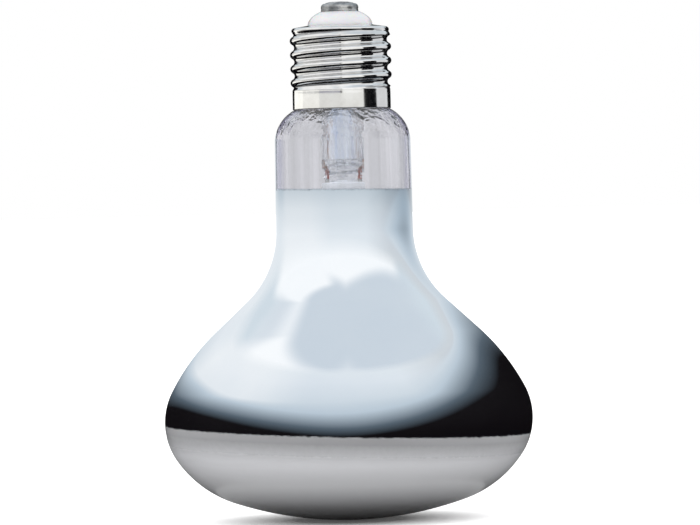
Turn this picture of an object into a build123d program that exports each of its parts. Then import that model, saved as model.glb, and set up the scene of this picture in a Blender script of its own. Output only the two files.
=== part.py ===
from build123d import *
import os
from math import acos, asin, cos, degrees, pi, radians, sin, sqrt, tan

# Self-ballasted mercury vapour reflector lamp with an Edison screw cap.
# It stands on its domed face, cap up. Millimetres, +Z along the lamp's axis, origin at the
# face's lowest point, front towards -Y. Outlines are (radius, height) points.

# Blown glass envelope: a chain of tangent arcs, given by radii and by the angles of their normals
bulb_radius = 47.5
face_radius = 92.5
lower_knuckle_radius = 29.0
rim_radius = 17.2
upper_knuckle_radius = 56.0
flare_radius = 25.0
neck_radius = 17.7
neck_length = 22.8
shoulder_radius = 9.5
throat_radius = 10.8
throat_fillet = 1.5
throat_length = 4.6
glass_wall = 0.9
lower_knuckle_angle = 34.3
upper_knuckle_angle = 27.6
cone_angle = 47.0
neck_taper = 0.5

# Mirror film on the inside of the glass, between two edges that aren't quite square to the axis
film_gap = 0.08
film_thickness = 0.1
film_lower_edge = 23.4
film_lower_skew = 2.3
film_upper_edge = 85.2
film_upper_skew = 1.1

# Screw cap: sheet shell with a round right-hand thread of 7 turns to the inch
thread_crest_radius = 13.1
thread_arc_radius = 1.025
thread_pitch = 25.4 / 7
thread_turns = 4.6
thread_zone_height = 15.2
thread_run_out = 1.6
ridge_overlap = 0.12
root_land = 0.12
sheet_thickness = 0.3
skirt_radius = 12.65
skirt_height = 5.1
skirt_gap = 0.05
cap_corner_radius = 0.8
cap_top_radius = 12.6
cap_top_angle = 9.0
cap_mouth_radius = 8.4

# Insulator, contact and solder at the end of the cap
insulator_gap = 0.05
insulator_height = 3.5
insulator_top_radius = 4.95
insulator_bulge = 0.64
insulator_flange_radius = 9.3
insulator_flange_height = 2.2
contact_radius = 4.8
contact_height = 2.1
contact_wall = 0.4
contact_edge_radius = 0.9
eyelet_radius = 1.9
eyelet_length = 7.0
solder_radius = 3.7
solder_height = 0.55
solder_flat_radius = 1.7
solder_plug_depth = 3.0
side_solder_radius = 1.7
side_solder_height = 0.7
side_solder_rise = 3.4
cement_recess = 0.3

# Stem: flare tube, pressed foot and exhaust tube
stem_radius = 5.5
stem_wall = 1.0
stem_length = 20.1
web_height = 3.0
press_width = 9.9
press_thickness = 3.0
press_height = 3.8
press_edge_radius = 1.2
press_bar_width = 11.3
press_bar_thickness = 3.6
press_bar_height = 1.75
exhaust_radius = 2.9
exhaust_wall = 0.9
exhaust_reach = 8.4

# Wires through the stem
outer_lead_diameter = 0.6
lead_offset = 4.0
lead_rise = 1.3
lead_clearance = 0.25
seal_diameter = 0.7
seal_depth = 1.0
seal_length = 3.2
post_diameter = 0.9
post_offset = 9.8
post_bend_radius = 1.6
post_knee_drop = 2.4
post_hip_drop = 4.2
fit_gap = 0.05

# Quartz arc tube and its electrodes
arc_tube_radius = 6.0
arc_tube_wall = 1.1
arc_tube_end_radius = 4.0
arc_tube_length = 27.0
arc_tube_drop = 0.9
pinch_width = 8.0
pinch_thickness = 3.0
pinch_height = 9.0
pinch_overlap = 1.0
pinch_edge_radius = 0.8
electrode_diameter = 0.7
electrode_reach = 5.0
electrode_coil_wire = 0.5
electrode_coil_turns = 5
starter_diameter = 0.5
starter_reach = 3.0
starter_offset = 2.2
main_offset = -1.4
foil_width = 2.0
foil_length = 5.0
foil_thickness = 0.1
foil_setback = 2.0
pinch_lead_diameter = 0.6
pinch_lead_reach = 3.2

# What carries the arc tube and the ballast filament
strap_height = 3.0
strap_thickness = 0.4
strap_level = 4.0
link_height = 1.6
resistor_radius = 1.2
resistor_length = 4.6
resistor_gap = 1.1
resistor_drop = 1.0
spider_radius = 11.2
spider_thickness = 2.6
spider_drop = 1.3
spider_hole_radius = 1.2
spider_edge = 0.4
post_tail = 3.6
hook_count = 6
hook_first_angle = 8.0
hook_wire = 0.4
hook_root = 8.0
hook_bend_radius = 0.8
hook_tip = 0.8
filament_offset = 13.4
filament_drop = 3.0
filament_diameter = 0.9
filament_corner = 1.5
filament_tail = 3.0
feed_diameter = 0.6
feed_bend_radius = 0.6
feed_stub = 1.0


def on_circle(centre, radius, angle):
    """Point of a circle at an angle above the outward horizontal."""
    return (centre[0] + radius * cos(radians(angle)), centre[1] + radius * sin(radians(angle)))


def xz(point):
    """An outline's (radius, height) point as a point in space."""
    return (point[0], 0.0, point[1])


def arc(centre, radius, first, last):
    """Arc of an outline between two angles."""
    return ThreePointArc(*[xz(on_circle(centre, radius, a)) for a in (first, (first + last) / 2, last)])


def straight(*points):
    """Straight runs of an outline through points."""
    return [Line(xz(a), xz(b)) for a, b in zip(points, points[1:])]


def outline(*lines):
    """Face inside a closed outline."""
    return Face(Wire([edge for line in lines for edge in line.edges()]))


def turned(*lines):
    """Solid of revolution of a closed outline."""
    return revolve(outline(*lines), axis=Axis.Z)


def rod(first, last, diameter):
    """Straight round wire between two points."""
    direction = Vector(*last) - Vector(*first)
    section = Plane(origin=first, z_dir=direction) * Circle(diameter / 2)
    return extrude(section, amount=direction.length, dir=direction.normalized())


def wire_along(path, diameter):
    """Round wire along a path."""
    section = Plane(origin=path @ 0, z_dir=path % 0) * Circle(diameter / 2)
    return sweep(section, path=path)


def bent(points, bend, diameter):
    """Round wire through points, with rounded bends."""
    return wire_along(FilletPolyline(*points, radius=bend), diameter)


def block(width, depth, low, high, x=0.0, y=0.0):
    """Upright box between two heights."""
    return Pos(x, y, low) * Box(width, depth, high - low, align=(Align.CENTER, Align.CENTER, Align.MIN))


def together(shapes):
    """Like pieces as one part."""
    return Part() + shapes


# Centres of the envelope's arcs, from the face upwards
knuckle_x = (
    bulb_radius - rim_radius - (lower_knuckle_radius - rim_radius) * cos(radians(lower_knuckle_angle))
)
face_angle = degrees(acos(knuckle_x / (face_radius - lower_knuckle_radius)))
face_centre = (0.0, face_radius)
lower_knuckle_centre = on_circle(face_centre, face_radius - lower_knuckle_radius, -face_angle)
rim_centre = on_circle(lower_knuckle_centre, lower_knuckle_radius - rim_radius, -lower_knuckle_angle)
upper_knuckle_centre = on_circle(rim_centre, rim_radius - upper_knuckle_radius, upper_knuckle_angle)
cone_start = on_circle(upper_knuckle_centre, upper_knuckle_radius, cone_angle)
flare_x = neck_radius + flare_radius * cos(radians(neck_taper))
cone_end_x = flare_x - flare_radius * cos(radians(cone_angle))
cone_length = (cone_start[0] - cone_end_x) / sin(radians(cone_angle))
cone_end_height = cone_start[1] + cone_length * cos(radians(cone_angle))
flare_centre = (flare_x, cone_end_height + flare_radius * sin(radians(cone_angle)))
neck_start = on_circle(flare_centre, flare_radius, 180 + neck_taper)
neck_end = on_circle(neck_start, neck_length, 90 + neck_taper)
shoulder_centre = on_circle(neck_end, -shoulder_radius, neck_taper)
fillet_x = throat_radius + throat_fillet
shoulder_angle = degrees(acos((fillet_x - shoulder_centre[0]) / (shoulder_radius + throat_fillet)))
fillet_centre = on_circle(shoulder_centre, shoulder_radius + throat_fillet, shoulder_angle)
throat_end = fillet_centre[1] + throat_length
throat_bore = throat_radius - glass_wall

# Heights up the cap
skirt_bore = skirt_radius - sheet_thickness
skirt_edge_drop = sqrt(shoulder_radius**2 - (skirt_bore - shoulder_centre[0]) ** 2)
skirt_foot = shoulder_centre[1] + skirt_edge_drop + skirt_gap
skirt_top = skirt_foot + skirt_height
thread_top = skirt_top + thread_zone_height
thread_depth = 2 * (thread_arc_radius - sqrt(thread_arc_radius**2 - (thread_pitch / 4) ** 2))
thread_root_radius = thread_crest_radius - thread_depth
cap_bore = thread_root_radius - sheet_thickness
corner_centre = (cap_top_radius - cap_corner_radius, thread_top)
cap_slope = tan(radians(cap_top_angle))
corner_end = on_circle(corner_centre, cap_corner_radius, 90 - cap_top_angle)
bore_corner_end = on_circle(corner_centre, cap_corner_radius - sheet_thickness, 90 - cap_top_angle)
mouth_height = corner_end[1] + (corner_end[0] - cap_mouth_radius) * cap_slope
mouth_underside = bore_corner_end[1] + (bore_corner_end[0] - cap_mouth_radius) * cap_slope
insulator_top = mouth_height + insulator_height
contact_top = insulator_top + contact_height
lamp_height = contact_top + solder_height
plug_foot = contact_top - solder_plug_depth
side_solder_level = skirt_foot + side_solder_rise

# Heights down from the throat: the stem, the posts, the arc tube and the filament
stem_floor_height = throat_end - stem_length
floor_top = stem_floor_height + stem_wall / 2
press_top_height = stem_floor_height - web_height
press_foot_height = press_top_height - press_height
exhaust_end = throat_end + exhaust_reach
seal_top = stem_floor_height - seal_depth
seal_foot = seal_top - seal_length
post_knee_height = press_foot_height - post_knee_drop
post_hip_height = post_knee_height - post_hip_drop
upper_lead_end = post_hip_height - arc_tube_drop
arc_tube_top = upper_lead_end - pinch_lead_reach
arc_body_top = arc_tube_top - pinch_height
arc_body_foot = arc_body_top - arc_tube_length
arc_tube_foot = arc_body_foot - pinch_height
lower_lead_end = arc_tube_foot - pinch_lead_reach
spider_top = lower_lead_end - spider_drop
spider_foot_height = spider_top - spider_thickness
filament_height = spider_foot_height - filament_drop
electrode_length = electrode_reach + arc_tube_wall + pinch_height - foil_setback - foil_length
starter_length = electrode_length - electrode_reach + starter_reach
post_face = post_offset - post_diameter / 2 - fit_gap


def envelope_profile(inset):
    """Profile from the face's pole to the throat, moved in by an inset."""
    neck_side = on_circle(shoulder_centre, shoulder_radius - inset, neck_taper)
    return [
        arc(face_centre, face_radius - inset, -90, -face_angle),
        arc(lower_knuckle_centre, lower_knuckle_radius - inset, -face_angle, -lower_knuckle_angle),
        arc(rim_centre, rim_radius - inset, -lower_knuckle_angle, upper_knuckle_angle),
        arc(upper_knuckle_centre, upper_knuckle_radius - inset, upper_knuckle_angle, cone_angle),
        *straight(
            on_circle(upper_knuckle_centre, upper_knuckle_radius - inset, cone_angle),
            on_circle(flare_centre, flare_radius + inset, 180 + cone_angle),
        ),
        arc(flare_centre, flare_radius + inset, 180 + cone_angle, 180 + neck_taper),
        *straight(on_circle(flare_centre, flare_radius + inset, 180 + neck_taper), neck_side),
        arc(shoulder_centre, shoulder_radius - inset, neck_taper, shoulder_angle),
        arc(fillet_centre, throat_fillet + inset, 180 + shoulder_angle, 180),
        *straight((throat_radius - inset, fillet_centre[1]), (throat_radius - inset, throat_end)),
    ]


def blown_wall(outer_inset, inner_inset):
    """Even wall of revolution between two insets of the envelope's profile."""
    outer = envelope_profile(outer_inset)
    inner = envelope_profile(inner_inset)
    return turned(*outer, Line(outer[-1] @ 1, inner[-1] @ 1), *inner, Line(inner[0] @ 0, outer[0] @ 0))


def film_edge(height, skew):
    """Plane of a film edge, lower towards +X by the skew angle."""
    return Plane(origin=(0, 0, height), z_dir=(sin(radians(skew)), 0, cos(radians(skew))))


def make_mirror_film():
    """Film on the glass, from above the face to the lower part of the neck."""
    film = blown_wall(glass_wall + film_gap, glass_wall + film_gap + film_thickness)
    film = split(film, bisect_by=film_edge(film_lower_edge, film_lower_skew), keep=Keep.TOP)
    return split(film, bisect_by=film_edge(film_upper_edge, film_upper_skew), keep=Keep.BOTTOM)


def make_thread_ridge():
    """Helical ridge of one thread: a round crest, and half a round root on each side."""
    flank_angle = degrees(asin(thread_pitch / 4 / thread_arc_radius))
    crest_centre = (thread_crest_radius - thread_arc_radius, 0.0)
    root_x = thread_root_radius + thread_arc_radius
    base = thread_root_radius - ridge_overlap
    land_angle = degrees(asin(root_land / thread_arc_radius))
    roots = [(root_x, side * thread_pitch / 2) for side in (-1, 1)]
    feet = [
        on_circle(roots[0], thread_arc_radius, 180 - land_angle),
        on_circle(roots[1], thread_arc_radius, 180 + land_angle),
    ]
    profile = outline(
        arc(roots[0], thread_arc_radius, 180 - land_angle, 180 - flank_angle),
        arc(crest_centre, thread_arc_radius, -flank_angle, flank_angle),
        arc(roots[1], thread_arc_radius, 180 + flank_angle, 180 + land_angle),
        *straight(feet[1], (base, feet[1][1]), (base, feet[0][1]), feet[0]),
    )
    helix = Helix(pitch=thread_pitch, height=thread_pitch * thread_turns, radius=thread_crest_radius)
    return sweep(profile, path=helix, is_frenet=True)


def make_cap_shell():
    """Drawn shell with its thread, which fades out above the skirt and under the top corner."""
    low_root = (thread_root_radius, skirt_top + thread_run_out)
    high_root = (thread_root_radius, thread_top - thread_run_out)
    inside = thread_root_radius - ridge_overlap
    wide = 2 * skirt_radius
    clear_of_ridge = thread_crest_radius + fit_gap
    outside = turned(*straight(
        (wide, skirt_foot), (thread_root_radius - fit_gap, skirt_foot),
        (thread_root_radius - fit_gap, skirt_top - thread_run_out / 2), (clear_of_ridge, low_root[1]),
        (clear_of_ridge, high_root[1]), (thread_root_radius - fit_gap, thread_top + thread_run_out / 4),
        (thread_root_radius - fit_gap, lamp_height), (wide, lamp_height), (wide, skirt_foot),
    ))
    ridge = Pos(0, 0, skirt_top - thread_pitch / 2) * Rot(0, 0, 180) * make_thread_ridge()
    stock = turned(*straight(
        (0, skirt_foot), (thread_root_radius, skirt_foot), (thread_root_radius, thread_top),
        (0, thread_top), (0, skirt_foot),
    ))
    skirt = turned(*straight(
        (inside, skirt_foot), (skirt_radius, skirt_foot), (skirt_radius, skirt_top), low_root,
        (inside, low_root[1]), (inside, skirt_foot),
    ))
    top = turned(
        *straight((0, high_root[1]), high_root, (cap_top_radius, thread_top)),
        arc(corner_centre, cap_corner_radius, 0, 90 - cap_top_angle),
        *straight(corner_end, (cap_mouth_radius, mouth_height), (0, mouth_height), (0, high_root[1])),
    )
    bore = turned(
        *straight(
            (0, skirt_foot - 1), (skirt_bore, skirt_foot - 1), (skirt_bore, skirt_top - sheet_thickness),
            (cap_bore, low_root[1]), (cap_bore, high_root[1]), (cap_top_radius - sheet_thickness, thread_top),
        ),
        arc(corner_centre, cap_corner_radius - sheet_thickness, 0, 90 - cap_top_angle),
        *straight(
            bore_corner_end, (cap_mouth_radius, mouth_underside), (cap_mouth_radius, mouth_height + 1),
            (0, mouth_height + 1), (0, skirt_foot - 1),
        ),
    )
    hole = rod(
        (0, 0, side_solder_level), (0, wide, side_solder_level), outer_lead_diameter + 2 * fit_gap
    )
    return stock + (ridge - outside) + skirt + top - bore - hole


def make_cap_insulator():
    """Glass insulator in the mouth of the shell, with a flange under it and a hole for the eyelet."""
    neck = cap_mouth_radius - insulator_gap
    flange_top = mouth_underside - (insulator_flange_radius - cap_mouth_radius) * cap_slope - insulator_gap
    flange_foot = flange_top - insulator_flange_height
    hole = eyelet_radius + insulator_gap
    middle = (
        (neck + insulator_top_radius + insulator_bulge * sqrt(2)) / 2,
        (mouth_height + insulator_top + insulator_bulge * sqrt(2)) / 2,
    )
    return turned(
        *straight(
            (hole, insulator_top), (hole, flange_foot), (insulator_flange_radius, flange_foot),
            (insulator_flange_radius, flange_top), (neck, mouth_underside - insulator_gap),
            (neck, mouth_height),
        ),
        ThreePointArc(xz((neck, mouth_height)), xz(middle), xz((insulator_top_radius, insulator_top))),
        *straight((insulator_top_radius, insulator_top), (hole, insulator_top)),
    )


def make_centre_contact():
    """Pressed contact disc with a rounded edge, and its eyelet through the insulator."""
    edge = (contact_radius - contact_edge_radius, contact_top - contact_edge_radius)
    bore = eyelet_radius - contact_wall
    eyelet_foot = contact_top - eyelet_length
    return turned(
        *straight((bore, contact_top), (edge[0], contact_top)),
        arc(edge, contact_edge_radius, 90, 0),
        *straight(
            (contact_radius, edge[1]), (contact_radius, insulator_top),
            (contact_radius - contact_wall, insulator_top), (contact_radius - contact_wall, edge[1]),
        ),
        arc(edge, contact_edge_radius - contact_wall, 0, 90),
        *straight(
            (edge[0], contact_top - contact_wall), (eyelet_radius, contact_top - contact_wall),
            (eyelet_radius, eyelet_foot), (bore, eyelet_foot), (bore, contact_top),
        ),
    )


def make_contact_solder():
    """Solder over the contact: a low dome with a flat top, and a plug in the eyelet."""
    plug = eyelet_radius - contact_wall
    middle = ((solder_radius + solder_flat_radius) / 2, contact_top + solder_height * 0.72)
    return turned(
        *straight((0, plug_foot), (plug, plug_foot), (plug, contact_top), (solder_radius, contact_top)),
        ThreePointArc(
            xz((solder_radius, contact_top)), xz(middle), xz((solder_flat_radius, lamp_height))
        ),
        *straight((solder_flat_radius, lamp_height), (0, lamp_height), (0, plug_foot)),
    )


def make_capping_cement():
    """Cement between the skirt and the glass, down to just above the skirt's edge, with the
    passage that the side lead takes through it."""
    foot = skirt_foot + cement_recess
    foot_x = shoulder_centre[0] + sqrt(shoulder_radius**2 - (foot - shoulder_centre[1]) ** 2)
    foot_angle = degrees(asin((foot - shoulder_centre[1]) / shoulder_radius))
    top = skirt_top - sheet_thickness
    ring = turned(
        *straight((foot_x, foot), (skirt_bore, foot), (skirt_bore, top), (throat_radius, top)),
        *straight((throat_radius, top), (throat_radius, fillet_centre[1])),
        arc(fillet_centre, throat_fillet, 180, 180 + shoulder_angle),
        arc(shoulder_centre, shoulder_radius, shoulder_angle, foot_angle),
    )
    return ring - make_side_lead()


def side_lead_path():
    """Path of the side lead: up the stem, over the throat at the back, and out through the skirt."""
    over = throat_end + lead_rise
    down = throat_radius + lead_clearance + outer_lead_diameter / 2
    return FilletPolyline(
        (-lead_offset, 0, seal_top), (-lead_offset, 0, over), (0, down, over),
        (0, down, side_solder_level), (0, skirt_radius + side_solder_height / 2, side_solder_level),
        radius=outer_lead_diameter * 0.6,
    )


def make_side_lead():
    """Copper lead to the skirt."""
    return wire_along(side_lead_path(), outer_lead_diameter)


def make_centre_lead():
    """Copper lead from the seal, beside the exhaust tube and in to the contact's solder."""
    beside = exhaust_end + lead_rise
    return bent(
        [(lead_offset, 0, seal_top), (lead_offset, 0, beside), (0, 0, beside + lead_offset),
         (0, 0, plug_foot)],
        outer_lead_diameter * 1.5, outer_lead_diameter,
    )


def make_side_solder():
    """Solder blob over the side lead's hole, seated on the skirt."""
    depth = skirt_radius + side_solder_height - side_solder_radius
    blob = Pos(0, depth, side_solder_level) * Sphere(side_solder_radius)
    skirt = Pos(0, 0, skirt_foot) * Cylinder(
        skirt_radius, skirt_height, align=(Align.CENTER, Align.CENTER, Align.MIN)
    )
    return blob - skirt - make_side_lead()


def make_stem():
    """Flare that closes the neck, its tube, and the pressed foot round the wires."""
    reach = throat_bore - stem_radius
    flare = (throat_bore, throat_end - reach - stem_wall)
    bore = stem_radius - stem_wall
    tube = turned(
        arc(flare, reach, 90, 180),
        *straight(
            (stem_radius, flare[1]), (stem_radius, stem_floor_height), (0, stem_floor_height),
            (0, floor_top), (bore, floor_top), (bore, flare[1]),
        ),
        arc(flare, reach + stem_wall, 180, 90),
        *straight((throat_bore, throat_end), (throat_bore, flare[1] + reach)),
    )
    pressed = RectangleRounded(press_width, press_thickness, press_edge_radius)
    web = loft([
        Plane.XY.offset(press_top_height) * pressed,
        Plane.XY.offset(stem_floor_height) * Circle(stem_radius),
    ])
    press = extrude(Plane.XY.offset(press_foot_height) * pressed, press_height)
    bar_outline = RectangleRounded(press_bar_width, press_bar_thickness, press_edge_radius)
    bar = extrude(Plane.XY.offset(press_foot_height) * bar_outline, press_bar_height)
    wires = [make_seal_wires(), make_post(1), make_post(-1), make_centre_lead(), make_side_lead()]
    return tube + web + press + bar - wires


def make_exhaust_tube():
    """Exhaust tube from the stem's floor, melted shut at a round tip."""
    tip = (0.0, exhaust_end - exhaust_radius)
    bore = exhaust_radius - exhaust_wall
    return turned(
        *straight((bore, floor_top), (exhaust_radius, floor_top), (exhaust_radius, tip[1])),
        arc(tip, exhaust_radius, 0, 90),
        *straight((0, exhaust_end), (0, tip[1] + bore)),
        arc(tip, bore, 90, 0),
        *straight((bore, tip[1]), (bore, floor_top)),
    )


def make_seal_wires():
    """Sealing wires in the glass, one for each lead."""
    return together([
        rod((side * lead_offset, 0, seal_foot), (side * lead_offset, 0, seal_top), seal_diameter)
        for side in (-1, 1)
    ])


def make_post(side):
    """Post from the seal, out past the arc tube and down through the spider."""
    return bent(
        [
            (side * lead_offset, 0, seal_foot), (side * lead_offset, 0, post_knee_height),
            (side * post_offset, 0, post_hip_height),
            (side * post_offset, 0, spider_foot_height - post_tail),
        ],
        post_bend_radius, post_diameter,
    )


def arc_tube_body(inset):
    """Round-ended body of the arc tube, moved in by an inset."""
    corner_x = arc_tube_radius - arc_tube_end_radius
    low = (corner_x, arc_body_foot + arc_tube_end_radius)
    high = (corner_x, arc_body_top - arc_tube_end_radius)
    end = arc_tube_end_radius - inset
    return turned(
        *straight((0, low[1] - end), (corner_x, low[1] - end)),
        arc(low, end, -90, 0),
        *straight((arc_tube_radius - inset, low[1]), (arc_tube_radius - inset, high[1])),
        arc(high, end, 0, 90),
        *straight((corner_x, high[1] + end), (0, high[1] + end), (0, low[1] - end)),
    )


def make_arc_tube():
    """Quartz tube with a flat pinch at each end, closed round its electrodes, foils and leads."""
    section = RectangleRounded(pinch_width, pinch_thickness, pinch_edge_radius)
    pinch = extrude(section, pinch_height + pinch_overlap)
    quartz = arc_tube_body(0) + Pos(0, 0, arc_tube_foot) * pinch
    quartz = quartz + Pos(0, 0, arc_body_top - pinch_overlap) * pinch - arc_tube_body(arc_tube_wall)
    sealed = [
        make_upper_electrode(), make_lower_electrode(), make_starting_electrode(),
        make_sealing_foils(), make_pinch_leads(),
    ]
    return quartz - sealed


def make_electrode():
    """Electrode rod with a wound head, tip down at the origin."""
    rod_x = electrode_diameter / 2
    coil_x = rod_x + electrode_coil_wire / 2
    head = electrode_coil_turns * electrode_coil_wire
    turns = [
        arc((coil_x, (i + 0.5) * electrode_coil_wire), electrode_coil_wire / 2, -90, 90)
        for i in range(electrode_coil_turns)
    ]
    return turned(
        *straight((0, 0), (coil_x, 0)),
        *turns,
        *straight((coil_x, head), (rod_x, head), (rod_x, electrode_length), (0, electrode_length), (0, 0)),
    )


def make_upper_electrode():
    """Main electrode that hangs from the upper pinch."""
    return Pos(main_offset, 0, arc_body_top - arc_tube_wall - electrode_reach) * make_electrode()


def make_lower_electrode():
    """Main electrode that stands on the lower pinch."""
    return Pos(0, 0, arc_body_foot + arc_tube_wall + electrode_reach) * Rot(180, 0, 0) * make_electrode()


def make_starting_electrode():
    """Thin starting electrode beside the upper main electrode."""
    tip = arc_body_top - arc_tube_wall - starter_reach
    return rod((starter_offset, 0, tip), (starter_offset, 0, tip + starter_length), starter_diameter)


def make_sealing_foils():
    """Foils in the pinches, between each electrode and its lead."""
    upper = arc_tube_top - foil_setback
    lower = arc_tube_foot + foil_setback
    return together([
        block(foil_width, foil_thickness, upper - foil_length, upper, x=main_offset),
        block(foil_width, foil_thickness, upper - foil_length, upper, x=starter_offset),
        block(foil_width, foil_thickness, lower, lower + foil_length),
    ])


def make_pinch_leads():
    """Leads out of the pinches."""
    upper = arc_tube_top - foil_setback
    lower = arc_tube_foot + foil_setback
    return together([
        rod((main_offset, 0, upper), (main_offset, 0, upper_lead_end), pinch_lead_diameter),
        rod((starter_offset, 0, upper), (starter_offset, 0, upper_lead_end), pinch_lead_diameter),
        rod((0, 0, lower_lead_end), (0, 0, lower), pinch_lead_diameter),
    ])


def make_strap(low, side):
    """Strap round a pinch, with a tab to the post on one side."""
    high = low + strap_height
    width = pinch_width + 2 * fit_gap
    depth = pinch_thickness + 2 * fit_gap
    band = block(width + 2 * strap_thickness, depth + 2 * strap_thickness, low, high)
    start = width / 2 + strap_thickness / 2
    tab = block(post_face - start, strap_thickness, low, high, x=side * (post_face + start) / 2)
    return band + tab - block(width, depth, low, high)


def make_upper_link():
    """Ribbon from the upper electrode's lead to the left post."""
    near = main_offset + pinch_lead_diameter / 2
    beside = (pinch_lead_diameter + strap_thickness) / 2
    return block(
        near + post_face, strap_thickness, upper_lead_end - link_height, upper_lead_end,
        x=(near - post_face) / 2, y=beside,
    )


def make_starting_resistor():
    """Resistor with its two wires, between the starting electrode's lead and the right post."""
    level = upper_lead_end - resistor_drop
    start = starter_offset + pinch_lead_diameter / 2 + fit_gap
    body_start = start + resistor_gap
    wire = rod((start, 0, level), (post_face, 0, level), starter_diameter)
    return wire + rod((body_start, 0, level), (body_start + resistor_length, 0, level), 2 * resistor_radius)


def make_hook():
    """Support wire at bearing 0: out of the spider, down, and round under the filament."""
    cup = (filament_diameter + hook_wire) / 2 + fit_gap
    level = spider_foot_height + spider_thickness / 2
    down_x = filament_offset - cup
    corner = (down_x - hook_bend_radius, level - hook_bend_radius)
    path = Wire([edge for line in (
        *straight((hook_root, level), (corner[0], level)),
        arc(corner, hook_bend_radius, 90, 0),
        *straight((down_x, corner[1]), (down_x, filament_height)),
        arc((filament_offset, filament_height), cup, 180, 360),
        *straight(
            (filament_offset + cup, filament_height), (filament_offset + cup, filament_height + hook_tip)
        ),
    ) for edge in line.edges()])
    return wire_along(path, hook_wire)


def make_filament_hooks():
    """Support wires round the spider."""
    hook = make_hook()
    return together([Rot(0, 0, hook_first_angle + 360 / hook_count * i) * hook for i in range(hook_count)])


def make_spider():
    """Ceramic disc on the posts, with holes for the posts, the hooks and the centre feed."""
    disc = turned(*straight(
        (spider_hole_radius, spider_foot_height), (spider_radius - spider_edge, spider_foot_height),
        (spider_radius, spider_foot_height + spider_edge), (spider_radius, spider_top - spider_edge),
        (spider_radius - spider_edge, spider_top), (spider_hole_radius, spider_top),
        (spider_hole_radius, spider_foot_height),
    ))
    hole = post_diameter + 2 * fit_gap
    posts = [
        rod((x, 0, spider_foot_height - 1), (x, 0, spider_top + 1), hole) for x in (-post_offset, post_offset)
    ]
    return disc - posts - make_filament_hooks()


def filament_corners():
    """Corners of the filament's path, one just outside each hook."""
    half_turn = pi / hook_count
    reach = filament_offset + filament_corner * (1 / cos(half_turn) - 1)
    return [
        Vector(reach, 0, filament_height).rotate(Axis.Z, hook_first_angle + 360 / hook_count * i)
        for i in range(hook_count)
    ]


def make_filament():
    """Coiled ballast filament through the hooks, open between the last hook and the first."""
    corners = filament_corners()
    gap = (corners[-1] - corners[0]).normalized()
    first = corners[0] + gap * filament_tail
    last = corners[-1] - gap * filament_tail
    return bent([first, *corners, last], filament_corner, filament_diameter)


def make_post_feed():
    """Wire from the filament's first end to the right post."""
    corners = filament_corners()
    gap = (corners[-1] - corners[0]).normalized()
    start = corners[0] + gap * filament_tail
    turn = start + gap * feed_stub
    post = Vector(post_offset, 0, filament_height)
    end = post + (turn - post).normalized() * (post_diameter / 2 + fit_gap)
    return bent([start, turn, end], feed_bend_radius, feed_diameter)


def make_centre_feed():
    """Wire from the filament's last end, in under the spider and up to the lower pinch's lead."""
    corners = filament_corners()
    gap = (corners[-1] - corners[0]).normalized()
    start = corners[-1] - gap * filament_tail
    turn = start - gap * feed_stub
    return bent(
        [start, turn, (0, 0, filament_height), (0, 0, lower_lead_end)], feed_bend_radius, feed_diameter
    )


pieces = {
    "cap_shell": make_cap_shell(),
    "cap_insulator": make_cap_insulator(),
    "centre_contact": make_centre_contact(),
    "contact_solder": make_contact_solder(),
    "side_solder": make_side_solder(),
    "capping_cement": make_capping_cement(),
    "glass_envelope": blown_wall(0, glass_wall),
    "mirror_film": make_mirror_film(),
    "stem": make_stem(),
    "exhaust_tube": make_exhaust_tube(),
    "centre_lead": make_centre_lead(),
    "side_lead": make_side_lead(),
    "seal_wires": make_seal_wires(),
    "right_post": make_post(1),
    "left_post": make_post(-1),
    "arc_tube": make_arc_tube(),
    "upper_electrode": make_upper_electrode(),
    "lower_electrode": make_lower_electrode(),
    "starting_electrode": make_starting_electrode(),
    "sealing_foils": make_sealing_foils(),
    "pinch_leads": make_pinch_leads(),
    "upper_strap": make_strap(arc_body_top + strap_level, -1),
    "lower_strap": make_strap(arc_body_foot - strap_level - strap_height, 1),
    "upper_link": make_upper_link(),
    "starting_resistor": make_starting_resistor(),
    "spider": make_spider(),
    "filament_hooks": make_filament_hooks(),
    "ballast_filament": make_filament(),
    "post_feed": make_post_feed(),
    "centre_feed": make_centre_feed(),
}

os.makedirs("parts", exist_ok=True)
for name, piece in pieces.items():
    export_step(piece, f"parts/{name}.step")
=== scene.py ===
import math

import bmesh
import bpy
import numpy as np
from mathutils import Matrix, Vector


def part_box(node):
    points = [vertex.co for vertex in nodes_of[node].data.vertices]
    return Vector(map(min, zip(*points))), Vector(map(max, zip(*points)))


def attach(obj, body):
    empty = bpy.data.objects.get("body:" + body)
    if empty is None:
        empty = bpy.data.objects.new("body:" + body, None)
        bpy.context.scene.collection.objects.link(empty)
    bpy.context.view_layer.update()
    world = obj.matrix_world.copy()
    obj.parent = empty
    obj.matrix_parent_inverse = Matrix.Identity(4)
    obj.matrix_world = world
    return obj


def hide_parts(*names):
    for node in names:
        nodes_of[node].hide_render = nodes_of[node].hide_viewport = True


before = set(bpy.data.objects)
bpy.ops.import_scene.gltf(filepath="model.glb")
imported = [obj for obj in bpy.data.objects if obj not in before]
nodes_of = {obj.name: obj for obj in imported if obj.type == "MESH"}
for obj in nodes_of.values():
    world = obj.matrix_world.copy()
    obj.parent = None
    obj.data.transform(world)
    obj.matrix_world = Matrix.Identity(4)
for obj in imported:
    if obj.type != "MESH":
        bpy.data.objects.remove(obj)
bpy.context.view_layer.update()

scene = bpy.context.scene


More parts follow.
